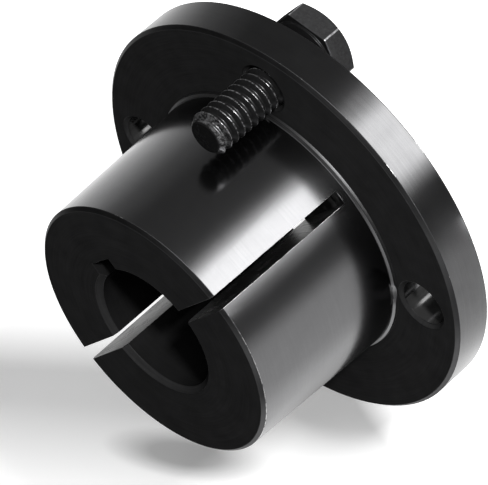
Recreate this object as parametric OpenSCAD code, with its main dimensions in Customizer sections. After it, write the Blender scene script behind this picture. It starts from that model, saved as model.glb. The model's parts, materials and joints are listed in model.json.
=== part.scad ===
// Split taper bush: a turned flange and a tapered barrel in one piece, bored and keyed for a shaft,
// with two saw slits along the barrel, two clearance holes, two tapped holes and one hex cap screw.
// The origin is the centre of the bore at the flange's back face, and +Z runs towards the nose.

/* [Flange] */
// Diameter of the circle that the clearance and tapped holes lie on
bolt_circle_d = 50.8; // [42:0.1:66]
// Distance from that circle to the rim of the flange
rim_w = 6.35; // [4.7:0.05:12]
// Thickness of the flange
flange_t = 6.15; // [4:0.05:10]
// Bevel round the front of the flange
flange_bevel = 0.5; // [0.2:0.1:1]
// Bevel round the back of the flange
back_bevel = 0.15; // [0.1:0.05:1]

/* [Barrel] */
// Length from the flange's back face to the nose
overall_l = 31.75; // [24:0.25:44]
// Gain in diameter for each millimetre of taper, 3/4 inch to the foot
taper = 0.0625; // [0.03:0.0025:0.08]
// Bevel round the nose
nose_bevel = 0.5; // [0.2:0.1:1]
// Width of the low collar that stands out at the root of the taper
collar_w = 0.38; // [0.2:0.02:1]
// Height of the collar above the flange where it meets the taper
collar_h = 0.7; // [0.5:0.05:1]
// Fall of the collar's land from the taper to its rim
collar_fall = 0.25; // [0.05:0.05:0.4]

/* [Bore] */
// Diameter of the bore, 3/4 inch
bore_d = 19.05; // [12:0.05:26]
// Bevel at both mouths of the bore
bore_bevel = 0.8; // [0.2:0.1:1.2]
// Width of the keyway, 3/16 inch
key_w = 4.76; // [2:0.01:6]
// Depth of the keyway past the bore, measured on its centre line
key_depth = 2.25; // [1:0.05:3]

/* [Slits] */
// Width of the two saw slits
slit_w = 2; // [1:0.1:3]
// Distance from the flange's front face to the slits' ends
slit_stop = 1.9; // [1.1:0.1:6]
// Distance by which the saw cut misses the bore's axis
slit_off = 0.4; // [0:0.1:2]

/* [Holes] */
// Diameter of the two clearance holes
clear_d = 7; // [5:0.1:9]
// Bevel at both mouths of the clearance and tapped holes
hole_bevel = 0.5; // [0.2:0.05:0.8]
// Room between the collar and the bevel of the wider holes
collar_gap = 0.1; // [0.05:0.05:2]

/* [Cap screw] */
// Outside diameter of the screw's thread, 1/4 inch
screw_d = 6.35; // [4.8:0.05:8]
// Length of the screw under its head, 3/4 inch
screw_l = 19.05; // [14:0.25:26]
// Gap between the screw head and the flange's back face
head_gap = 1.6; // [0.5:0.1:5]
// Width of the hex head across its flats
head_af = 11; // [9.5:0.1:12]
// Height of the head, washer face and all
head_h = 3.97; // [3:0.1:5]
// Height of the round washer face under the head
washer_h = 0.4; // [0.2:0.05:0.6]
// Diameter of the washer face
washer_d = 10.4; // [8:0.1:10.8]
// Diameter of the flat top inside the crown's chamfer
crown_d = 10.1; // [7:0.1:10.8]
// Length of the pointed chamfer at the screw's tip
tip_bevel = 0.75; // [0.3:0.05:1.2]

/* [Hidden] */
$fn = 180;

// Radial room between the screw and its tapped hole
thread_gap = 0.05;
// Each cut runs this far past the face it opens on
cut = 1;

bore_r = bore_d / 2;
clear_r = clear_d / 2;
tapped_r = screw_d / 2 + thread_gap;
bolt_circle_r = bolt_circle_d / 2;
flange_r = bolt_circle_r + rim_w;

// The collar stands just inside the wider holes, and the taper rises from its inner edge
collar_r = bolt_circle_r - max(clear_r, tapped_r) - hole_bevel - collar_gap;
collar_top = flange_t + collar_h;
taper_top = overall_l - nose_bevel;
root_r = collar_r - collar_w;
nose_r = root_r - (taper_top - collar_top) * taper / 2;

// Features stand at these angles about the bore
clear_angles = [0, 180];
tapped_angles = [90, 270];
slit_angle = 46;
key_angle = 134;
screw_angle = tapped_angles[0];

// Turn of the head's first corner from the radius through the screw
head_turn = 20;
// Fall of the crown's chamfer below the flat top
crown_angle = 30;
crown_r = crown_d / 2;
corner_r = head_af / 2 / cos(30);

// Half section of flange, collar and taper, from the bore outwards
module half_section() {
    polygon([
        [bore_r + bore_bevel, 0],
        [flange_r - back_bevel, 0],
        [flange_r, back_bevel],
        [flange_r, flange_t - flange_bevel],
        [flange_r - flange_bevel, flange_t],
        [collar_r, flange_t],
        [collar_r, collar_top - collar_fall],
        [root_r, collar_top],
        [nose_r, taper_top],
        [nose_r - nose_bevel, overall_l],
        [bore_r + bore_bevel, overall_l],
        [bore_r, overall_l - bore_bevel],
        [bore_r, bore_bevel]
    ]);
}

// Keyway along the whole bore, on the +X side before it is turned
module keyway() {
    translate([0, -key_w / 2, -cut])
        cube([bore_r + key_depth, key_w, overall_l + 2 * cut]);
}

// One saw cut across the barrel makes both slits
module slits() {
    translate([-flange_r, slit_off - slit_w / 2, flange_t + slit_stop])
        cube([2 * flange_r, slit_w, overall_l]);
}

// Hole through the flange, bevelled at both mouths
module flange_hole(r) {
    translate([0, 0, -cut])
        cylinder(h = flange_t + 2 * cut, r = r);
    mouth_bevel(r);
    translate([0, 0, flange_t])
        mirror([0, 0, 1])
            mouth_bevel(r);
}

// Cone that opens a hole of radius r downwards through z = 0
module mouth_bevel(r) {
    translate([0, 0, -cut])
        cylinder(h = cut + hole_bevel, r1 = r + hole_bevel + cut, r2 = r);
}

module at_bolt_circle(angle) {
    rotate([0, 0, angle])
        translate([bolt_circle_r, 0, 0])
            children();
}

module bush() {
    color([0.13, 0.13, 0.14])
        difference() {
            rotate_extrude()
                half_section();
            rotate([0, 0, key_angle])
                keyway();
            rotate([0, 0, slit_angle])
                slits();
            for (a = clear_angles)
                at_bolt_circle(a)
                    flange_hole(clear_r);
            for (a = tapped_angles)
                at_bolt_circle(a)
                    flange_hole(tapped_r);
        }
}

// Shank with a chamfered tip, from z = 0 under the head up to the tip
module shank() {
    rotate_extrude()
        polygon([
            [0, -head_h / 2],
            [screw_d / 2, -head_h / 2],
            [screw_d / 2, screw_l - tip_bevel],
            [screw_d / 2 - tip_bevel, screw_l],
            [0, screw_l]
        ]);
}

// Hexagon whose crown is chamfered by a cone, on a round washer face
module hex_head() {
    intersection() {
        translate([0, 0, -head_h])
            rotate([0, 0, head_turn])
                cylinder(h = head_h - washer_h, r = corner_r, $fn = 6);
        rotate_extrude()
            polygon([
                [0, 0],
                [corner_r + cut, 0],
                [corner_r + cut, (corner_r + cut - crown_r) * tan(crown_angle) - head_h],
                [crown_r, -head_h],
                [0, -head_h]
            ]);
    }
    translate([0, 0, -head_h / 2])
        cylinder(h = head_h / 2, d = washer_d);
}

module cap_screw() {
    color([0.16, 0.16, 0.17])
        at_bolt_circle(screw_angle)
            translate([0, 0, -head_gap])
                union() {
                    shank();
                    hex_head();
                }
}

bush();
cap_screw();
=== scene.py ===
import json
import math

import bmesh
import bpy
import numpy as np
from bpy.props import FloatProperty, FloatVectorProperty, PointerProperty
from mathutils import Matrix, Vector


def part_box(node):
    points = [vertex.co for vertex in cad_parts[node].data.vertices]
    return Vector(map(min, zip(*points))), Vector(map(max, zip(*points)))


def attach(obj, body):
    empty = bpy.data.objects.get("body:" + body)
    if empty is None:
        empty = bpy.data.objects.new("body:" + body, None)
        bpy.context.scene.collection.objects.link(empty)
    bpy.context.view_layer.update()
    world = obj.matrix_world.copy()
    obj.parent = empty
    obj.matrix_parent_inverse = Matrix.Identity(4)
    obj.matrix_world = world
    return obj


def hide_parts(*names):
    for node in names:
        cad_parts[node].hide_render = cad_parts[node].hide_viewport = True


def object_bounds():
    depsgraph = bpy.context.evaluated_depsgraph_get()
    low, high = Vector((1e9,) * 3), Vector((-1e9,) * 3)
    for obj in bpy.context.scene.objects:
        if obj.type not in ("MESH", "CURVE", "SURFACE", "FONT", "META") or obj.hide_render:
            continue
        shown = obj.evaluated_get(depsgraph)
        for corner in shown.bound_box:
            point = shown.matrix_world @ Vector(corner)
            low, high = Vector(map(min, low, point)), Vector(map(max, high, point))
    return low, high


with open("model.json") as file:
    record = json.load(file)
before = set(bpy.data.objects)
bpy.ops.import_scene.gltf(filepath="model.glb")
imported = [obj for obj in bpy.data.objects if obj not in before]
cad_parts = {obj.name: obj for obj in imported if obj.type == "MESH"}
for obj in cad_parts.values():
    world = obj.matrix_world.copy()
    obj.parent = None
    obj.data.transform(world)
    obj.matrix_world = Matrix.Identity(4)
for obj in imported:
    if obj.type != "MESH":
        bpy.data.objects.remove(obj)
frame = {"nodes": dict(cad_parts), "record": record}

bl_info = {
    "name": "Split taper bush",
    "version": (1, 0, 0),
    "blender": (4, 5, 0),
    "location": "View3D > Sidebar > Taper bush",
    "description": "Finishes the bush and its cap screw in ground and blackened steel, on a white table",
    "category": "Object",
}

MM = 0.001
MERGE = 1e-6

CAD_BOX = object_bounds()
BUSH_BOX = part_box("bush")
SCREW_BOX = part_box("cap_screw")
MOUNTS = {mount["name"]: mount for mount in frame["record"]["mounts"]}
BORE_R = MOUNTS["bore"]["dims"]["r_mm"] * MM
BOLT_CIRCLE_R = MOUNTS["hub_screws"]["dims"]["pcd_mm"] / 2 * MM
TAPPED_R = MOUNTS["jack_hole"]["dims"]["r_mm"] * MM
TAPPED_L = MOUNTS["jack_hole"]["dims"]["length_mm"] * MM
TAPPED_MID = MOUNTS["jack_hole"]["pos_m"][2]
FLANGE_R = BUSH_BOX[1].x
FLANGE_T = 2 * TAPPED_MID
NOSE_Z = BUSH_BOX[1].z
# Radius of the taper at its root, inside the collar
TAPER_R = 20.9 * MM
SCREW_TIP_Z = SCREW_BOX[1].z

# The saw cut: its direction about the bore, its half width and how far it misses the axis
SAW_AZIMUTH = math.radians(46)
SAW_HALF_W = 1.0 * MM
SAW_OFF = 0.4 * MM
# Height of the slitting saw's centre, about which the marks on the slits' walls are arcs
SAW_CENTRE_Z = 78 * MM
# Height of the slits' ends
SAW_STOP_Z = 8.05 * MM
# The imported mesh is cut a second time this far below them, so that the metal under them shades flat
STOP_STRIP = 0.1 * MM
# Facets narrower than this beside the cut are joined to the next one
SLIVER_W = 0.35 * MM
# Side of the nose whose edge is bruised
NOSE_BRUISE = math.radians(-20)
# A face or an edge this near to the bolt circle belongs to a hole in the flange
HOLE_ZONE = 1.3 * TAPPED_R

# The screw's head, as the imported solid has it
HEAD_GAP = 1.6 * MM
HEAD_TURN = math.radians(110)
HEAD_AF = 11 * MM
# Share of the distance to a sharp corner that its narrow round leaves
CORNER_SHARE = 0.994
HEAD_H = 3.97 * MM
WASHER_H = 0.4 * MM
WASHER_R = 5.2 * MM
CROWN_R = 5.05 * MM
CROWN_SLOPE = math.tan(math.radians(30))
THREAD_PITCH = 1.27 * MM


class SteelFinish(bpy.types.PropertyGroup):
    """Colours and surface of the steel."""

    ground_colour: FloatVectorProperty(
        name="Ground colour", description="Steel of the ground barrel and rim",
        default=(0.15, 0.15, 0.153), subtype="COLOR", min=0, max=1)
    rim_colour: FloatVectorProperty(
        name="Rim colour", description="Steel of the flange's rim and of the collar",
        default=(0.11, 0.11, 0.112), subtype="COLOR", min=0, max=1)
    oxide_colour: FloatVectorProperty(
        name="Oxide colour", description="Black oxide on the flat turned faces",
        default=(0.0108, 0.0108, 0.011), subtype="COLOR", min=0, max=1)
    sawn_colour: FloatVectorProperty(
        name="Sawn colour", description="Steel of the slit walls",
        default=(0.045, 0.045, 0.045), subtype="COLOR", min=0, max=1)
    drilled_colour: FloatVectorProperty(
        name="Drilled colour", description="Steel of the holes' walls",
        default=(0.035, 0.035, 0.035), subtype="COLOR", min=0, max=1)
    worn_colour: FloatVectorProperty(
        name="Worn colour", description="Bare steel where the edges are rubbed",
        default=(0.5, 0.5, 0.5), subtype="COLOR", min=0, max=1)
    # Painted shade: the bore's oxide is made darker than on the faces, so that lamp light falling into the
    # bore and keyway shows dim
    bore_shade_colour: FloatVectorProperty(
        name="Bore colour", description="Oxide in the bore and the keyway",
        default=(0.0048, 0.0048, 0.0049), subtype="COLOR", min=0, max=1)
    bevel_colour: FloatVectorProperty(
        name="Bevel colour", description="Oxide on the turned bevels",
        default=(0.042, 0.042, 0.043), subtype="COLOR", min=0, max=1)
    screw_colour: FloatVectorProperty(
        name="Screw colour", description="Black oxide on the cap screw",
        default=(0.017, 0.017, 0.0174), subtype="COLOR", min=0, max=1)
    edge_round: FloatProperty(
        name="Edge round", description="Width of the tiny round on every edge",
        default=0.045 * MM, min=0, unit="LENGTH")


class ScrewThread(bpy.types.PropertyGroup):
    """Form of the 1/4 inch thread."""

    crest_r: FloatProperty(
        name="Crest radius", description="Radius of the thread's crests",
        default=3.13 * MM, min=0, unit="LENGTH")
    root_r: FloatProperty(
        name="Root radius", description="Radius of the thread's roots",
        default=2.45 * MM, min=0, unit="LENGTH")
    tip_r: FloatProperty(
        name="Tip radius", description="Radius of the flat at the screw's tip",
        default=2.4 * MM, min=0, unit="LENGTH")


class Studio(bpy.types.PropertyGroup):
    """Camera, table and lamps."""

    lens: FloatProperty(
        name="Lens", description="Focal length on a 36 mm sensor",
        default=319.16, unit="CAMERA")
    distance: FloatProperty(
        name="Distance", description="From the camera to the point it aims at",
        default=590.7 * MM, unit="LENGTH")
    azimuth: FloatProperty(
        name="Azimuth", description="Of the camera about the bore, from +X",
        default=math.radians(54.941), subtype="ANGLE")
    elevation: FloatProperty(
        name="Elevation", description="Of the camera above the table",
        default=math.radians(27.378), subtype="ANGLE")
    roll: FloatProperty(
        name="Roll", description="Of the camera about its own axis",
        default=math.radians(-130.904), subtype="ANGLE")
    aim: FloatVectorProperty(
        name="Aim", description="Point at the middle of the picture",
        default=(-3.66 * MM, -3.58 * MM, 9.86 * MM), subtype="TRANSLATION")
    table_colour: FloatVectorProperty(
        name="Table colour", description="Colour of the white table",
        default=(0.8, 0.8, 0.8), subtype="COLOR", min=0, max=1)
    table_r: FloatProperty(
        name="Table radius", description="Radius of the table's flat part",
        default=0.9, unit="LENGTH")
    cove_r: FloatProperty(
        name="Cove radius", description="Radius of the curve at the table's edge, and its height",
        default=0.1, unit="LENGTH")
    key_level: FloatProperty(
        name="Key level", description="Share of the table's light from the low key lamp",
        default=0.62, min=0)
    fill_level: FloatProperty(
        name="Fill level", description="Share of the table's light from the soft fill lamp",
        default=0.22, min=0)
    sky_level: FloatProperty(
        name="Overhead level", description="Share of the table's light from the overhead lamp",
        default=0.1, min=0)
    bevel_level: FloatProperty(
        name="Bevel level",
        description="Share of the table's light from the weak low lamp that the bevels mirror",
        default=0.09, min=0)
    air_level: FloatProperty(
        name="Air level", description="Strength of the dim light from all round",
        default=0.1, min=0)


def add_node(tree, kind, inputs=None, **settings):
    """Adds a node, sets its options, and links or sets its inputs by name or number."""
    made = tree.nodes.new(kind)
    for name, value in settings.items():
        setattr(made, name, value)
    for name, value in (inputs or {}).items():
        if isinstance(value, bpy.types.NodeSocket):
            tree.links.new(value, made.inputs[name])
        else:
            made.inputs[name].default_value = value
    return made


def math_node(tree, operation, *values):
    """A Math node's output; each value is a number or a socket."""
    return add_node(tree, "ShaderNodeMath", dict(enumerate(values)), operation=operation).outputs[0]


def vector_math(tree, operation, *vectors, output="Value"):
    """A Vector Math node's output, which is a number unless output is "Vector"."""
    made = add_node(tree, "ShaderNodeVectorMath", dict(enumerate(vectors)), operation=operation)
    return made.outputs[output]


def map_range(tree, value, low=0.0, high=1.0, to_low=0.0, to_high=1.0):
    """A value carried from one range to another and held at its ends."""
    made = add_node(tree, "ShaderNodeMapRange", {
        "Value": value, "From Min": low, "From Max": high, "To Min": to_low, "To Max": to_high})
    return made.outputs["Result"]


def colour_between(tree, factor, low, high):
    """A colour between two others, by a factor from 0 to 1."""
    made = add_node(tree, "ShaderNodeMix", {
        "Factor": factor, 6: (*low, 1), 7: (*high, 1)}, data_type="RGBA")
    return made.outputs[2]


def toned(tree, colour, factor):
    """A colour times a number."""
    made = add_node(tree, "ShaderNodeVectorMath", {0: colour, "Scale": factor}, operation="SCALE")
    return made.outputs["Vector"]


def bumped(tree, height, depth, under=None):
    """A surface normal tilted by a height that is depth deep at 1, on top of another bump if one is given."""
    made = add_node(tree, "ShaderNodeBump", {"Height": height, "Distance": depth})
    if under:
        tree.links.new(under, made.inputs["Normal"])
    return made.outputs["Normal"]


def new_material(name):
    """A material with nothing but its output node, and that node."""
    made = bpy.data.materials.new(name)
    made.use_nodes = True
    made.node_tree.nodes.clear()
    return made, add_node(made.node_tree, "ShaderNodeOutputMaterial")


def object_point(tree):
    """The point on the surface in the part's own frame."""
    return add_node(tree, "ShaderNodeTexCoord").outputs["Object"]


def height_of(tree, point):
    """The point's height above the flange's back."""
    return add_node(tree, "ShaderNodeSeparateXYZ", {"Vector": point}).outputs["Z"]


def noise(tree, point, detail=2.0, rough=0.5):
    """Noise from 0 to 1 with one lump a unit of the given point."""
    made = add_node(tree, "ShaderNodeTexNoise", {
        "Vector": point, "Scale": 1.0, "Detail": detail, "Roughness": rough})
    return made.outputs["Fac"]


def stretched(tree, point, sizes):
    """The point divided by a size along each axis."""
    made = add_node(tree, "ShaderNodeMapping", {"Vector": point, "Scale": [1 / size for size in sizes]})
    return made.outputs["Vector"]


def axis_distance(tree, point, middle_y):
    """Distance from the upright axis through (0, middle_y)."""
    flat = add_node(tree, "ShaderNodeMapping", {
        "Vector": point, "Location": (0, -middle_y, 0), "Scale": (1, 1, 0)})
    return vector_math(tree, "LENGTH", flat.outputs["Vector"])


def ground_marks(tree, point, pitch):
    """Fine lines round the bore's axis, each about 9 mm long, as a wheel leaves them on a turning barrel."""
    return noise(tree, stretched(tree, point, (9 * MM, 9 * MM, pitch)))


def turned_marks(tree, point, pitch):
    """Fine rings about the bore's axis, as a facing tool leaves them: noise along the radius, which
    changes every 8 mm or so round a ring."""
    split = add_node(tree, "ShaderNodeSeparateXYZ", {"Vector": point})
    lines = math_node(tree, "DIVIDE", axis_distance(tree, point, 0), pitch)
    rings = add_node(tree, "ShaderNodeCombineXYZ", {
        "X": lines,
        "Y": math_node(tree, "DIVIDE", split.outputs["X"], 8 * MM),
        "Z": math_node(tree, "DIVIDE", split.outputs["Y"], 8 * MM)})
    return noise(tree, rings.outputs["Vector"])


def drilled_marks(tree, point, pitch):
    """Streaks along a drilled hole, each about 12 mm long."""
    return noise(tree, stretched(tree, point, (pitch, pitch, 12 * MM)), 3.0)


def sawn_marks(tree, point, pitch):
    """Arcs about the slitting saw's centre."""
    centred = vector_math(tree, "ADD", point, (0, 0, -SAW_CENTRE_Z), output="Vector")
    lines = math_node(tree, "DIVIDE", vector_math(tree, "LENGTH", centred), pitch)
    return noise(tree, add_node(tree, "ShaderNodeCombineXYZ", {"X": lines}).outputs["Vector"])


def steel(name, colour, roughness, marks, pitch, depth, mottle=0.25, grain=0.0, metal=1.0,
          rim_light=1.0, gloss=0.5, smear=0.0):
    """Steel with tool marks: marks(tree, point, pitch) gives their height, depth is their depth, mottle
    is how far the colour and roughness vary and grain is the depth of a fine pitted grain. A matt oxide
    is less of a metal and has little gloss, rim_light is how bright it turns where it is seen edge on,
    and smear is how far dull dirt hides the metal where it is darkest."""
    made, out = new_material(name)
    tree = made.node_tree
    point = object_point(tree)
    cloud = noise(tree, stretched(tree, point, (3 * MM,) * 3), 4.0, 0.6)
    lines = marks(tree, point, pitch)
    clean = math_node(tree, "SUBTRACT", math_node(tree, "ADD", cloud, lines), 0.5)
    dull = [max(channel * (1 - mottle), 0) for channel in colour]
    bright = [channel * (1 + mottle) for channel in colour]
    normal = bumped(tree, lines, depth)
    if grain:
        pits = noise(tree, stretched(tree, point, (0.12 * MM,) * 3), 1.0)
        normal = bumped(tree, pits, grain, normal)
    shader = add_node(tree, "ShaderNodeBsdfPrincipled", {
        "Base Color": colour_between(tree, clean, dull, bright), "Metallic": metal,
        "Roughness": map_range(
            tree, cloud, to_low=roughness * (1 - mottle / 2), to_high=roughness * (1 + mottle / 2)),
        "Specular IOR Level": gloss, "Specular Tint": (rim_light,) * 3 + (1,), "Normal": normal})
    if smear:
        tree.links.new(map_range(tree, clean, 0.35, 0.55, metal - smear, metal), shader.inputs["Metallic"])
    tree.links.new(shader.outputs["BSDF"], out.inputs["Surface"])
    return made


def worn_and_shaded_steel(name, oxide, bare):
    """The rounds on the edges: oxide, rubbed through to bare steel here and there, with painted shade on
    those round the bore, the holes and the slits' ends.
    """
    made, out = new_material(name)
    tree = made.node_tree
    point = object_point(tree)
    height = height_of(tree, point)
    radius = axis_distance(tree, point, 0)
    # A burr of bare steel runs along the slits
    across = (-math.sin(SAW_AZIMUTH), math.cos(SAW_AZIMUTH), 0)
    from_cut = math_node(tree, "SUBTRACT", vector_math(tree, "DOT_PRODUCT", point, across), SAW_OFF)
    burr = map_range(
        tree, math_node(tree, "ABSOLUTE", from_cut), SAW_HALF_W, SAW_HALF_W + 0.1 * MM, 0.25, 0.0)
    # The nose's edge is bruised on the side of the right-hand hole
    bruised_side = (math.cos(NOSE_BRUISE), math.sin(NOSE_BRUISE), 0)
    on_nose = math_node(tree, "GREATER_THAN", height, NOSE_Z - 0.6 * MM)
    bruise = map_range(
        tree, vector_math(tree, "DOT_PRODUCT", point, bruised_side), 6 * MM, 15 * MM,
        to_high=math_node(tree, "MULTIPLY", on_nose, 0.2))
    # Only the outer edges are rubbed: the barrel's above the slits' ends, and the rim's a little less
    barrel = math_node(
        tree, "MULTIPLY", math_node(tree, "COMPARE", radius, TAPER_R - 0.4 * MM, 0.6 * MM),
        math_node(tree, "GREATER_THAN", height, SAW_STOP_Z + MM))
    rim = math_node(tree, "MULTIPLY", math_node(tree, "GREATER_THAN", radius, FLANGE_R - 0.2 * MM), 0.6)
    patches = noise(tree, stretched(tree, point, (1.6 * MM,) * 3), 5.0, 0.7)
    wear = math_node(tree, "ADD", patches, math_node(tree, "MAXIMUM", burr, bruise))
    rubbed = map_range(tree, wear, 0.6, 0.74, to_high=math_node(tree, "MAXIMUM", rim, barrel))
    # Painted shade: round the bore and the holes and at the slits' ends the edges are darkened to 0.3 of
    # their colour
    at_hole = math_node(tree, "COMPARE", radius, BOLT_CIRCLE_R, HOLE_ZONE)
    at_stop = math_node(tree, "COMPARE", height, SAW_STOP_Z, 0.3 * MM)
    painted_shade = math_node(
        tree, "MAXIMUM", math_node(tree, "LESS_THAN", radius, 1.4 * BORE_R),
        math_node(tree, "MAXIMUM", at_hole, at_stop))
    colour = toned(
        tree, colour_between(tree, rubbed, oxide, bare), math_node(tree, "MULTIPLY_ADD", painted_shade, -0.7, 1.0))
    pits = noise(tree, stretched(tree, point, (0.15 * MM,) * 3), 1.0)
    shader = add_node(tree, "ShaderNodeBsdfPrincipled", {
        "Base Color": colour, "Metallic": 1.0,
        "Roughness": math_node(tree, "MULTIPLY_ADD", rubbed, -0.25, 0.6),
        "Normal": bumped(tree, pits, 6e-6)})
    tree.links.new(shader.outputs["BSDF"], out.inputs["Surface"])
    return made


def screw_steel(name, oxide, bare, crest_r):
    """Black oxide on the cap screw, rubbed bare on the thread's crests and the head's corners, and rough
    and bruised on the first turn at the tip, with painted shade on the washer face."""
    made, out = new_material(name)
    tree = made.node_tree
    point = object_point(tree)
    height = height_of(tree, point)
    radius = axis_distance(tree, point, BOLT_CIRCLE_R)
    on_head = math_node(tree, "LESS_THAN", height, -HEAD_GAP + 0.01 * MM)
    corner_r = CORNER_SHARE * HEAD_AF / math.sqrt(3)
    edge_r = math_node(tree, "MULTIPLY_ADD", on_head, corner_r - crest_r, crest_r)
    crest = map_range(tree, math_node(tree, "SUBTRACT", radius, edge_r), -0.05 * MM, -0.005 * MM)
    first_turn = math_node(
        tree, "MULTIPLY", map_range(tree, height, SCREW_TIP_Z - 1.9 * MM, SCREW_TIP_Z - 1.2 * MM),
        math_node(tree, "LESS_THAN", height, SCREW_TIP_Z - 0.1 * MM))
    worn = math_node(tree, "MAXIMUM", crest, math_node(tree, "MULTIPLY", first_turn, 0.6))
    patches = noise(tree, stretched(tree, point, (0.45 * MM,) * 3), 3.0, 0.7)
    rubbed = map_range(tree, patches, 0.44, 0.56, math_node(tree, "MULTIPLY", on_head, 0.6))
    colour = colour_between(tree, math_node(tree, "MULTIPLY", worn, rubbed), oxide, bare)
    # The head is lighter than the thread, and its washer face is darker: painted shade under the head
    on_washer = math_node(tree, "COMPARE", height, -HEAD_GAP - WASHER_H / 2, WASHER_H / 2 + 0.01 * MM)
    tone_and_washer_shade = math_node(
        tree, "MULTIPLY", math_node(tree, "MULTIPLY_ADD", on_head, 2.0, 1.0),
        math_node(tree, "MULTIPLY_ADD", on_washer, -0.7, 1.0))
    mottled = map_range(
        tree, patches, 0.3, 0.7, math_node(tree, "MULTIPLY", tone_and_washer_shade, 0.75),
        math_node(tree, "MULTIPLY", tone_and_washer_shade, 1.25))
    pits = noise(tree, stretched(tree, point, (0.16 * MM,) * 3), 2.0)
    grain = math_node(tree, "MULTIPLY", pits, math_node(tree, "MULTIPLY_ADD", first_turn, 6.0, 1.0))
    shader = add_node(tree, "ShaderNodeBsdfPrincipled", {
        "Base Color": toned(tree, colour, mottled), "Metallic": 0.75, "Roughness": 0.3,
        "Specular IOR Level": 0.1, "Specular Tint": (0.3, 0.3, 0.3, 1), "Normal": bumped(tree, grain, 3e-6)})
    tree.links.new(shader.outputs["BSDF"], out.inputs["Surface"])
    return made


def link(obj):
    """Puts an object in the scene."""
    bpy.context.scene.collection.objects.link(obj)
    return obj


def from_saw_cut(points):
    """How far points lie outside the saw cut, in the metal."""
    across = np.array([-math.sin(SAW_AZIMUTH), math.cos(SAW_AZIMUTH)])
    return np.abs(points[..., :2] @ across - SAW_OFF) - SAW_HALF_W


def merged_copy(node, name):
    """A copy of a CAD node's mesh whose loose triangles are merged, flat faces made whole. The saw cut
    leaves narrow slivers of the turned facets beside it, and they join their neighbours."""
    mesh = bpy.data.meshes.new(name)
    work = bmesh.new()
    work.from_mesh(frame["nodes"][node].data)
    bmesh.ops.remove_doubles(work, verts=work.verts, dist=MERGE)
    bmesh.ops.dissolve_limit(work, angle_limit=math.radians(0.1), verts=work.verts, edges=work.edges)
    for height in (SAW_STOP_Z, SAW_STOP_Z - STOP_STRIP):
        bmesh.ops.bisect_plane(
            work, geom=work.verts[:] + work.edges[:] + work.faces[:], dist=MERGE, plane_co=(0, 0, height),
            plane_no=(0, 0, 1))
    ends = np.array([[vert.co for vert in edge.verts] for edge in work.edges])
    gap = from_saw_cut(ends)
    rise = np.abs(ends[:, 1, 2] - ends[:, 0, 2]) / np.linalg.norm(ends[:, 1] - ends[:, 0], axis=1)
    sliver = (gap.min(1) > 5 * MERGE) & (gap.max(1) < SLIVER_W) & (rise > 0.5) & (
        ends[..., 2].min(1) > SAW_STOP_Z - 5 * MERGE)
    work.edges.ensure_lookup_table()
    slivers = [work.edges[index] for index in np.flatnonzero(sliver)]
    bmesh.ops.dissolve_edges(work, edges=slivers, use_verts=True)
    work.to_mesh(mesh)
    work.free()
    return link(bpy.data.objects.new(name, mesh))


def round_edges(obj, width, material):
    """A tiny round on every edge sharper than 25 degrees, with the faces beside it shaded as they lie."""
    obj.data.shade_smooth()
    made = obj.modifiers.new("edge_round", "BEVEL")
    made.limit_method = "ANGLE"
    made.angle_limit = math.radians(25)
    made.width = width
    made.segments = 2
    made.use_clamp_overlap = False
    made.material = material
    obj.modifiers.new("face_shading", "WEIGHTED_NORMAL").keep_sharp = True


def face_arrays(mesh):
    """Centres and normals of a mesh's faces as arrays."""
    centre = np.empty(len(mesh.polygons) * 3, np.float32)
    normal = np.empty(len(mesh.polygons) * 3, np.float32)
    mesh.polygons.foreach_get("center", centre)
    mesh.polygons.foreach_get("normal", normal)
    return centre.reshape(-1, 3), normal.reshape(-1, 3)


# Surfaces of the bush by how they were made, in the order of its material slots
FACED, GROUND, RIM, COLLAR, BEVELLED, SAWN, DRILLED, BORED, WORN_AND_SHADED = range(9)


def bush_surfaces(mesh):
    """The kind of each face, from its normal and its distance from the bore's axis."""
    centre, normal = face_arrays(mesh)
    radius = np.hypot(centre[:, 0], centre[:, 1])
    outward = (normal[:, :2] * centre[:, :2]).sum(1) / np.maximum(radius, MERGE)
    level = np.abs(normal[:, 2])
    gap = from_saw_cut(centre)
    wall = (level < 0.01) & (np.abs(gap) < 0.05 * MM)
    stop = (level > 0.99) & (gap < 0) & (centre[:, 2] > 1.1 * FLANGE_T) & (centre[:, 2] < 0.9 * NOSE_Z)
    turned = (level < 0.2) & (outward > 0.9)
    rim = turned & (radius > 0.98 * FLANGE_R)
    collar = ((level > 0.5) | (centre[:, 2] < FLANGE_T + 0.5 * MM)) & (radius > TAPER_R) & (
        radius < 1.1 * TAPER_R) & (centre[:, 2] > FLANGE_T)
    at_hole = (np.abs(radius - BOLT_CIRCLE_R) < HOLE_ZONE) & (centre[:, 2] < FLANGE_T)
    mouth = (level > 0.5) & (at_hole | (radius < 1.5 * BORE_R))
    return np.select(
        [wall | stop, (level > 0.99) | mouth, rim, collar, turned, radius < 1.5 * BORE_R, level > 0.5],
        [SAWN, FACED, RIM, COLLAR, GROUND, BORED, BEVELLED], DRILLED)


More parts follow.
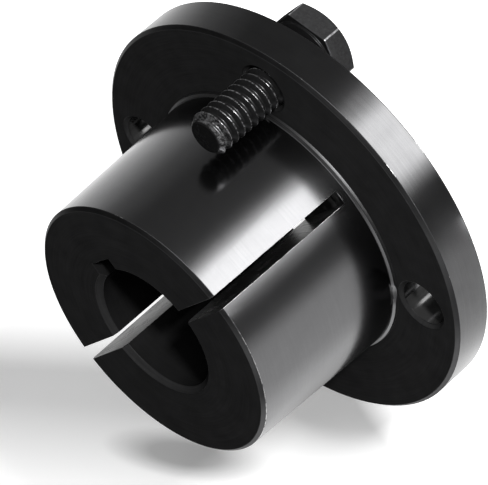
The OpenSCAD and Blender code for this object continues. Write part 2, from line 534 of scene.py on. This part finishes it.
class BUSH_OT_finish_bush(bpy.types.Operator):
    """Rounds the bush's edges and finishes each of its surfaces as it was machined"""

    bl_idname = "taper_bush.finish_bush"
    bl_label = "Finish the bush"

    def execute(self, context):
        finish = context.scene.steel_finish
        bush = merged_copy("bush", "bush_turned")
        mesh = bush.data
        mesh.materials.clear()
        for made in (
                steel("black_faced_steel", finish.oxide_colour, 0.5, turned_marks, 0.16 * MM, 1.5e-6,
                      mottle=0.35, grain=3e-6, metal=0.15, rim_light=0.6, gloss=0.0),
                steel("ground_steel", finish.ground_colour, 0.18, ground_marks, 0.12 * MM, 1.2e-6,
                      mottle=0.08),
                steel("ground_rim_steel", finish.rim_colour, 0.2, ground_marks, 0.2 * MM, 4e-6,
                      mottle=0.14, grain=1.5e-6),
                steel("collar_steel", finish.rim_colour, 0.34, turned_marks, 0.1 * MM, 1e-6,
                      mottle=0.1, rim_light=0.7),
                steel("turned_bevel_steel", finish.bevel_colour, 0.34, turned_marks, 0.1 * MM, 2e-6,
                      rim_light=0.6),
                steel("sawn_steel", finish.sawn_colour, 0.3, sawn_marks, 0.35 * MM, 14e-6,
                      mottle=0.9, grain=6e-6, rim_light=0.8, gloss=0.0, smear=0.45),
                steel("drilled_steel", finish.drilled_colour, 0.16, drilled_marks, 0.5 * MM, 16e-6,
                      mottle=0.3, metal=0.7, gloss=0.1),
                # The bored steel takes its darker colour: painted shade in the bore
                steel("bored_steel", finish.bore_shade_colour, 0.25, ground_marks, 0.15 * MM, 3e-6,
                      metal=0.2, rim_light=0.3, gloss=0.0),
                worn_and_shaded_steel("worn_and_shaded_edge_steel", finish.bevel_colour, finish.worn_colour)):
            mesh.materials.append(made)
        surfaces = bush_surfaces(mesh)
        mesh.polygons.foreach_set("material_index", surfaces)
        round_edges(bush, finish.edge_round, WORN_AND_SHADED)
        mesh.polygons.foreach_set("use_smooth", ~np.isin(surfaces, (FACED, SAWN)))
        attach(bush, "root")
        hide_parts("bush")
        return {"FINISHED"}


def grid_mesh(name, points, closed_rows=False):
    """A mesh from rows of points, joined along each row and from row to row, with its doubles merged."""
    rows, columns = points.shape[:2]
    index = np.arange(rows * columns).reshape(rows, columns)
    if closed_rows:
        index = np.vstack([index, index[:1]])
    low, high = index[:-1], index[1:]
    faces = np.stack([low[:, :-1], low[:, 1:], high[:, 1:], high[:, :-1]], -1).reshape(-1, 4)
    mesh = bpy.data.meshes.new(name)
    mesh.from_pydata(points.reshape(-1, 3), [], faces.tolist())
    work = bmesh.new()
    work.from_mesh(mesh)
    bmesh.ops.remove_doubles(work, verts=work.verts, dist=MERGE)
    bmesh.ops.dissolve_degenerate(work, edges=work.edges, dist=MERGE / 10)
    bmesh.ops.recalc_face_normals(work, faces=work.faces)
    work.to_mesh(mesh)
    work.free()
    mesh.shade_smooth()
    return mesh


# Rows along one pitch of the thread: close together where the profile turns
THREAD_PHASES = np.array([
    0, 0.10, 0.135, 0.17, 0.24, 0.33, 0.40, 0.43, 0.46, 0.5, 0.54, 0.57, 0.60, 0.67, 0.76, 0.83, 0.865, 0.90])


def thread_rows(turn, low, high, thread):
    """Rows of a right-hand thread from z = low to z = high. A row climbs one pitch a turn, so along it the
    radius is steady: a crest an eighth of the pitch wide, flanks at about 31 degrees and a root a bit
    less than a quarter wide.
    turn is each column's share of a turn. Gives radius and height, rows by columns."""
    turns = math.ceil((high - low) / THREAD_PITCH) + 1
    climb = (np.arange(-1, turns)[:, None] + THREAD_PHASES).reshape(-1, 1)
    z = np.clip(low + (climb + turn) * THREAD_PITCH, low, high)
    from_crest = np.abs((climb % 1) * 2 - 1)
    height = np.clip((0.77 - from_crest) / 0.65, 0, 1)
    return thread.root_r + (thread.crest_r - thread.root_r) * height + 0 * z, z


def hexagon_radius(turn):
    """Distance from the screw's axis to the side of its hexagon at each share of a turn: half the width
    across flats over the cosine of the angle from the flat's middle, and a little less at a corner."""
    from_flat = (turn * 6) % 1 - 0.5
    sharp = HEAD_AF / 2 / np.cos(from_flat * math.pi / 3)
    return np.where(np.abs(from_flat) > 0.499, sharp * CORNER_SHARE, sharp)


def head_profile(side, shank_r):
    """Radius and height of the head's rings, from the middle of its crown out over the rounded edges to
    its washer face and in to the shank. side is the hexagon's own distance from the axis."""
    soft = 0.06 * MM
    cone_z = -HEAD_H + (side - CROWN_R) * CROWN_SLOPE
    return [
        (0, -HEAD_H),
        (CROWN_R * 0.5, -HEAD_H),
        (CROWN_R - 3 * soft, -HEAD_H),
        (CROWN_R - soft, -HEAD_H),
        (CROWN_R + soft, -HEAD_H + soft * CROWN_SLOPE),
        (side - 2 * soft, cone_z - 2 * soft * CROWN_SLOPE),
        (side - soft, cone_z - soft * CROWN_SLOPE),
        (side - 0.2 * soft, cone_z + 0.4 * soft),
        (side, cone_z + 1.5 * soft),
        (side, cone_z + 4 * soft),
        (side, -WASHER_H - 4 * soft),
        (side, -WASHER_H - 1.5 * soft),
        (side - 0.4 * soft, -WASHER_H - 0.4 * soft),
        (side - 1.5 * soft, -WASHER_H),
        (side - 3 * soft, -WASHER_H),
        (WASHER_R + soft, -WASHER_H),
        (WASHER_R, -WASHER_H + soft),
        (WASHER_R, -WASHER_H + 1.5 * soft),
        (WASHER_R, -1.5 * soft),
        (WASHER_R, -soft),
        (WASHER_R - soft, 0),
        (shank_r + 0.4 * MM, 0),
        (shank_r, 0.2 * MM),
    ]


def ring_rows(profile, turn):
    """A profile's radii and heights, each carried round at every share of a turn."""
    return [np.vstack([value + 0 * turn for value in column]) for column in zip(*profile)]


class BUSH_OT_cut_screw(bpy.types.Operator):
    """Makes the cap screw with its hexagon head, washer face and rolled thread"""

    bl_idname = "taper_bush.cut_screw"
    bl_label = "Cut the cap screw"

    def execute(self, context):
        finish = context.scene.steel_finish
        thread = context.scene.screw_thread
        # Columns crowd at the hexagon's corners, so that each has a narrow round
        offsets = np.array([0, 0.6, 1.6, 4, 9, 15, 21, 27, 30, 33, 39, 45, 51, 56, 58.4, 59.4])
        degrees = (np.arange(6)[:, None] * 60 + offsets).ravel()
        turn = np.append(degrees, 360) / 360
        shank_r = thread.root_r + 0.62 * (thread.crest_r - thread.root_r)
        length = SCREW_TIP_Z + HEAD_GAP
        # The thread runs in over most of its first pitch and is pointed at the tip
        start = 0.5 * MM
        thread_r, thread_z = thread_rows(turn, start, length, thread)
        run_in = np.clip((thread_z - start) / (0.8 * THREAD_PITCH), 0, 1)
        thread_r = shank_r + (thread_r - shank_r) * run_in
        thread_r = np.minimum(thread_r, thread.tip_r + (length - thread_z))
        head_r, head_z = ring_rows(head_profile(hexagon_radius(turn), shank_r), turn)
        tip_r, tip_z = ring_rows([
            (thread.tip_r * 0.9, length),
            (thread.tip_r * 0.5, length - 0.03 * MM),
            (0, length - 0.04 * MM)], turn)
        radius = np.vstack([head_r, thread_r, tip_r])
        z = np.vstack([head_z, thread_z, tip_z])
        angle = turn * math.tau + HEAD_TURN
        points = np.stack([
            radius * np.cos(angle), BOLT_CIRCLE_R + radius * np.sin(angle), z - HEAD_GAP], -1)
        screw = link(bpy.data.objects.new("cap_screw_threaded", grid_mesh("cap_screw_threaded", points)))
        screw.data.materials.append(
            screw_steel("black_screw_steel", finish.screw_colour, finish.ground_colour, thread.crest_r))
        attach(screw, "root")
        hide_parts("cap_screw")
        return {"FINISHED"}


class BUSH_OT_tap_hole(bpy.types.Operator):
    """Cuts the thread of the empty tapped hole"""

    bl_idname = "taper_bush.tap_hole"
    bl_label = "Tap the jacking hole"

    def execute(self, context):
        thread = context.scene.screw_thread
        wall = TAPPED_R - 0.01 * MM
        low, high = TAPPED_MID - TAPPED_L / 2, TAPPED_MID + TAPPED_L / 2
        turn = np.linspace(0, 1, 73)
        radius, z = thread_rows(turn, low, high, thread)
        # The ridge is the thread turned inside out, and runs out into the bevelled mouths
        inner = wall - 0.02 * MM - 0.85 * (radius - thread.root_r)
        from_mouth = np.minimum(z - low, high - z)
        inner = np.maximum(inner, wall - 0.03 * MM - from_mouth)
        outer_z = np.linspace(high, low, 5)[:, None] + 0 * turn
        radius = np.vstack([inner, wall + 0 * outer_z])
        z = np.vstack([z, outer_z])
        angle = turn * math.tau
        points = np.stack([radius * np.cos(angle), -BOLT_CIRCLE_R + radius * np.sin(angle), z], -1)
        tapped = link(bpy.data.objects.new("jack_hole_thread", grid_mesh("jack_hole_thread", points, True)))
        tapped.data.materials.append(bpy.data.materials["bored_steel"])
        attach(tapped, "root")
        return {"FINISHED"}


# Light painted on the table for glossy rays only, where 1 is white: degrees about its middle, and level.
# It stands in for a studio's light and gives the steel its bright and dim bands
GLOW = (
    (-180, 1.05), (-158, 1.3), (-140, 1.05), (-92, 1.2), (-60, 1.55), (-44, 1.25), (-12, 1.15), (3, 0.27),
    (14, 0.14), (21, 0.15), (23, 0.3), (25, 1.0), (27, 1.8), (29, 2.7), (31.5, 4.8), (34, 6.2), (59, 6.2),
    (67, 2.0), (76, 0.3), (84, 0.15), (130, 0.13), (152, 0.32), (180, 1.05))
GLOW_TOP = 8
GLOW_MIDDLE = (7 * MM, 12.5 * MM)
# Shade painted on that light, in place of the bush's own shadow: round this point, out to this radius
SHADE_MIDDLE = (-10 * MM, -45 * MM)
SHADE_R = 45 * MM
# Painted shade the same way under the flange, from the first radius to the second
UNDER_R = (29 * MM, 33 * MM)
UNDER_LEVEL = 0.03
# Ovals of painted light over the glow, painted glints that give a painted reflection: a streak in each
# clearance hole's wall and a patch in the slit's: middle, half widths, turn and level
GLINTS = (
    ((34.3 * MM, 9.2 * MM), (6 * MM, 2.1 * MM), 45, 26),
    ((-11.5 * MM, 4.2 * MM), (5.5 * MM, 2.6 * MM), 18, 24),
    ((-15.6 * MM, -10 * MM), (9 * MM, 7 * MM), 33, 1.8))

# Light painted on the table for camera rays, besides the lamps' light, whose dip paints a band of shadow
# beside the bush:
# distance in mm along this direction, which goes from row to row down the photograph, and level
FACING = math.radians(-56.8)
HAZE_AND_PAINTED_SHADOW = ((-150, 1.0), (0, 0.85), (27, 0.72), (37, 0.18), (44, 0.2), (62, 0.62), (150, 1.0))
HAZE_REACH = 150 * MM
# Right of the bush that painted light turns the table white over the shadow, from the first distance across
# that direction to the second
CLEAR_ACROSS = (-31 * MM, -17 * MM)
# Painted shadow close under the nose, where the table is darkest, in an oval: middle, half widths and turn
NOSE_PAINTED_SHADOW = ((-41.1 * MM, -90.2 * MM), (24 * MM, 5.5 * MM), 33)


def ramp_node(tree, factor, stops, low, high, top):
    """A ramp of brightness over a factor from 0 to 1, from stops of (place between low and high, level)."""
    ramp = add_node(tree, "ShaderNodeValToRGB", {"Fac": factor})
    elements = ramp.color_ramp.elements
    for _ in stops[2:]:
        elements.new(1.0)
    for element, (place, level) in zip(elements, stops):
        element.position = (place - low) / (high - low)
    for element, (place, level) in zip(elements, stops):
        element.color = (level / top,) * 3 + (1,)
    return ramp.outputs["Color"]


def oval(tree, point, middle, half_widths, degrees):
    """How far a point on the table lies from an oval's middle, where 1 is its edge."""
    inside = add_node(tree, "ShaderNodeMapping", {
        "Vector": point, "Location": (*middle, CAD_BOX[0].z), "Rotation": (0, 0, math.radians(degrees)),
        "Scale": (*half_widths, 1)}, vector_type="TEXTURE")
    return vector_math(tree, "LENGTH", inside.outputs["Vector"])


def table_material(colour):
    """A white table. Cameras see it lit by the lamps, with painted light and painted shadow over it. Glossy
    rays see none of that but the painted glow, with its painted shade and glints, which is brighter than
    white in places and lights no other ray."""
    made, out = new_material("white_table")
    tree = made.node_tree
    point = object_point(tree)
    rays = add_node(tree, "ShaderNodeLightPath").outputs
    along = vector_math(tree, "DOT_PRODUCT", point, (math.cos(FACING), math.sin(FACING), 0))
    reach = math_node(tree, "MULTIPLY_ADD", along, 0.5 / HAZE_REACH, 0.5)
    across = vector_math(tree, "DOT_PRODUCT", point, (-math.sin(FACING), math.cos(FACING), 0))
    haze_and_painted_shadow = math_node(
        tree, "MAXIMUM", ramp_node(tree, reach, HAZE_AND_PAINTED_SHADOW, -150, 150, 1), map_range(tree, across, *CLEAR_ACROSS))
    haze_and_painted_shadow = math_node(tree, "MULTIPLY", haze_and_painted_shadow, map_range(tree, oval(tree, point, *NOSE_PAINTED_SHADOW), 0.4))
    seen = math_node(tree, "MAXIMUM", rays["Is Camera Ray"], rays["Is Transmission Ray"])
    paper = add_node(tree, "ShaderNodeBsdfDiffuse", {"Color": (*colour, 1)})
    faint = add_node(tree, "ShaderNodeEmission", {"Color": haze_and_painted_shadow, "Strength": seen})
    lit = add_node(tree, "ShaderNodeAddShader", {0: paper.outputs["BSDF"], 1: faint.outputs["Emission"]})
    centred = add_node(tree, "ShaderNodeMapping", {
        "Vector": point, "Location": (-GLOW_MIDDLE[0], -GLOW_MIDDLE[1], 0)})
    split = add_node(tree, "ShaderNodeSeparateXYZ", {"Vector": centred.outputs["Vector"]})
    angle = math_node(tree, "ARCTAN2", split.outputs["Y"], split.outputs["X"])
    share = math_node(tree, "MULTIPLY_ADD", angle, 1 / math.tau, 0.5)
    glow = ramp_node(tree, share, GLOW, -180, 180, GLOW_TOP)
    from_shade = vector_math(tree, "DISTANCE", point, (*SHADE_MIDDLE, CAD_BOX[0].z))
    shade = map_range(tree, from_shade, high=SHADE_R, to_high=GLOW_TOP)
    under = map_range(tree, axis_distance(tree, point, 0), *UNDER_R, UNDER_LEVEL)
    level = math_node(tree, "MULTIPLY", glow, math_node(tree, "MULTIPLY", shade, under))
    for *place, glint in GLINTS:
        spot = math_node(tree, "MULTIPLY_ADD", oval(tree, point, *place), -glint, glint)
        level = math_node(tree, "MAXIMUM", level, spot)
    mirrored = add_node(tree, "ShaderNodeEmission", {"Strength": level})
    both = add_node(tree, "ShaderNodeMixShader", {
        0: rays["Is Glossy Ray"], 1: lit.outputs["Shader"], 2: mirrored.outputs["Emission"]})
    tree.links.new(both.outputs["Shader"], out.inputs["Surface"])
    return made


def table_mesh(studio):
    """A disc that curves up at its edge: radius and height of the profile, turned about the bore's axis."""
    bend = np.linspace(0, math.pi / 2, 9)
    radius = np.concatenate([[0, 0.2, 0.5], studio.table_r + studio.cove_r * np.sin(bend)])
    height = np.concatenate([[0, 0, 0], studio.cove_r * (1 - np.cos(bend))])
    angle = np.linspace(0, math.tau, 97)
    points = np.stack([
        radius[:, None] * np.cos(angle), radius[:, None] * np.sin(angle),
        CAD_BOX[0].z + height[:, None] + 0 * angle], -1)
    return grid_mesh("table", points)


def add_lamp(name, azimuth, elevation, distance, size, level, aim=Vector((0, 0, 0.01))):
    """A square lamp aimed at the bush, with angles in degrees and lengths in metres. level is its share of
    the table's light, where 1 shows a colour as it is: the power is level * pi^2 * distance^2 over
    sin(elevation)."""
    made = link(bpy.data.objects.new(name, bpy.data.lights.new(name, "AREA")))
    flat = math.cos(math.radians(elevation))
    out = Vector((
        math.cos(math.radians(azimuth)) * flat, math.sin(math.radians(azimuth)) * flat,
        math.sin(math.radians(elevation))))
    made.location = aim + out * distance
    made.rotation_euler = out.to_track_quat("Z", "Y").to_euler()
    made.data.size = size
    made.data.energy = level * (math.pi * distance) ** 2 / out.z
    return made


class BUSH_OT_set_table(bpy.types.Operator):
    """Puts the bush on a white table under soft lamps"""

    bl_idname = "taper_bush.set_table"
    bl_label = "Set the table and lamps"

    def execute(self, context):
        studio = context.scene.studio
        table = link(bpy.data.objects.new("table", table_mesh(studio)))
        table.data.materials.append(table_material(studio.table_colour))
        add_lamp("key_lamp", 56, 15, 0.9, 0.08, studio.key_level)
        add_lamp("fill_lamp", 70, 25, 0.9, 0.3, studio.fill_level)
        add_lamp("overhead_lamp", -28, 50, 0.7, 0.35, studio.sky_level)
        add_lamp("bevel_lamp", -80, 10, 1.0, 0.8, studio.bevel_level)
        world = bpy.data.worlds.new("studio_air")
        context.scene.world = world
        world.use_nodes = True
        air = world.node_tree.nodes["Background"].inputs
        air["Color"].default_value = (1, 1, 1, 1)
        air["Strength"].default_value = studio.air_level
        return {"FINISHED"}


class BUSH_OT_place_camera(bpy.types.Operator):
    """Places the camera at the photograph's viewing angle"""

    bl_idname = "taper_bush.place_camera"
    bl_label = "Place the camera"

    def execute(self, context):
        studio = context.scene.studio
        flat = math.cos(studio.elevation)
        back = Vector((
            math.cos(studio.azimuth) * flat, math.sin(studio.azimuth) * flat, math.sin(studio.elevation)))
        level = Vector((-back.y, back.x, 0)).normalized()
        upright = back.cross(level)
        right = level * math.cos(studio.roll) + upright * math.sin(studio.roll)
        up = back.cross(right)
        place = Vector(studio.aim) + back * studio.distance
        camera = link(bpy.data.objects.new("camera", bpy.data.cameras.new("camera")))
        camera.matrix_world = Matrix((
            (right.x, up.x, back.x, place.x),
            (right.y, up.y, back.y, place.y),
            (right.z, up.z, back.z, place.z),
            (0, 0, 0, 1)))
        camera.data.sensor_width = 36
        camera.data.lens = studio.lens
        camera.data.clip_start = 10 * MM
        context.scene.camera = camera
        return {"FINISHED"}


class BUSH_PT_sidebar(bpy.types.Panel):
    """Lists the steps that dress the bush"""

    bl_idname = "BUSH_PT_sidebar"
    bl_label = "Taper bush"
    bl_space_type = "VIEW_3D"
    bl_region_type = "UI"
    bl_category = "Taper bush"

    def draw(self, context):
        for step in STEPS:
            self.layout.operator(step.bl_idname)
        for group in (context.scene.steel_finish, context.scene.screw_thread, context.scene.studio):
            box = self.layout.box()
            for name in group.__annotations__:
                box.prop(group, name)


GROUPS = (SteelFinish, ScrewThread, Studio)
STEPS = (
    BUSH_OT_finish_bush, BUSH_OT_cut_screw, BUSH_OT_tap_hole, BUSH_OT_set_table, BUSH_OT_place_camera)
CLASSES = (*GROUPS, *STEPS, BUSH_PT_sidebar)


def register():
    for made in CLASSES:
        bpy.utils.register_class(made)
    bpy.types.Scene.steel_finish = PointerProperty(type=SteelFinish)
    bpy.types.Scene.screw_thread = PointerProperty(type=ScrewThread)
    bpy.types.Scene.studio = PointerProperty(type=Studio)


def unregister():
    del bpy.types.Scene.studio
    del bpy.types.Scene.screw_thread
    del bpy.types.Scene.steel_finish
    for made in reversed(CLASSES):
        bpy.utils.unregister_class(made)


def main():
    register()
    bpy.context.scene.view_settings.view_transform = "Standard"
    bpy.ops.taper_bush.finish_bush()
    bpy.ops.taper_bush.cut_screw()
    bpy.ops.taper_bush.tap_hole()
    bpy.ops.taper_bush.set_table()
    bpy.ops.taper_bush.place_camera()


if __name__ == "__main__":
    main()
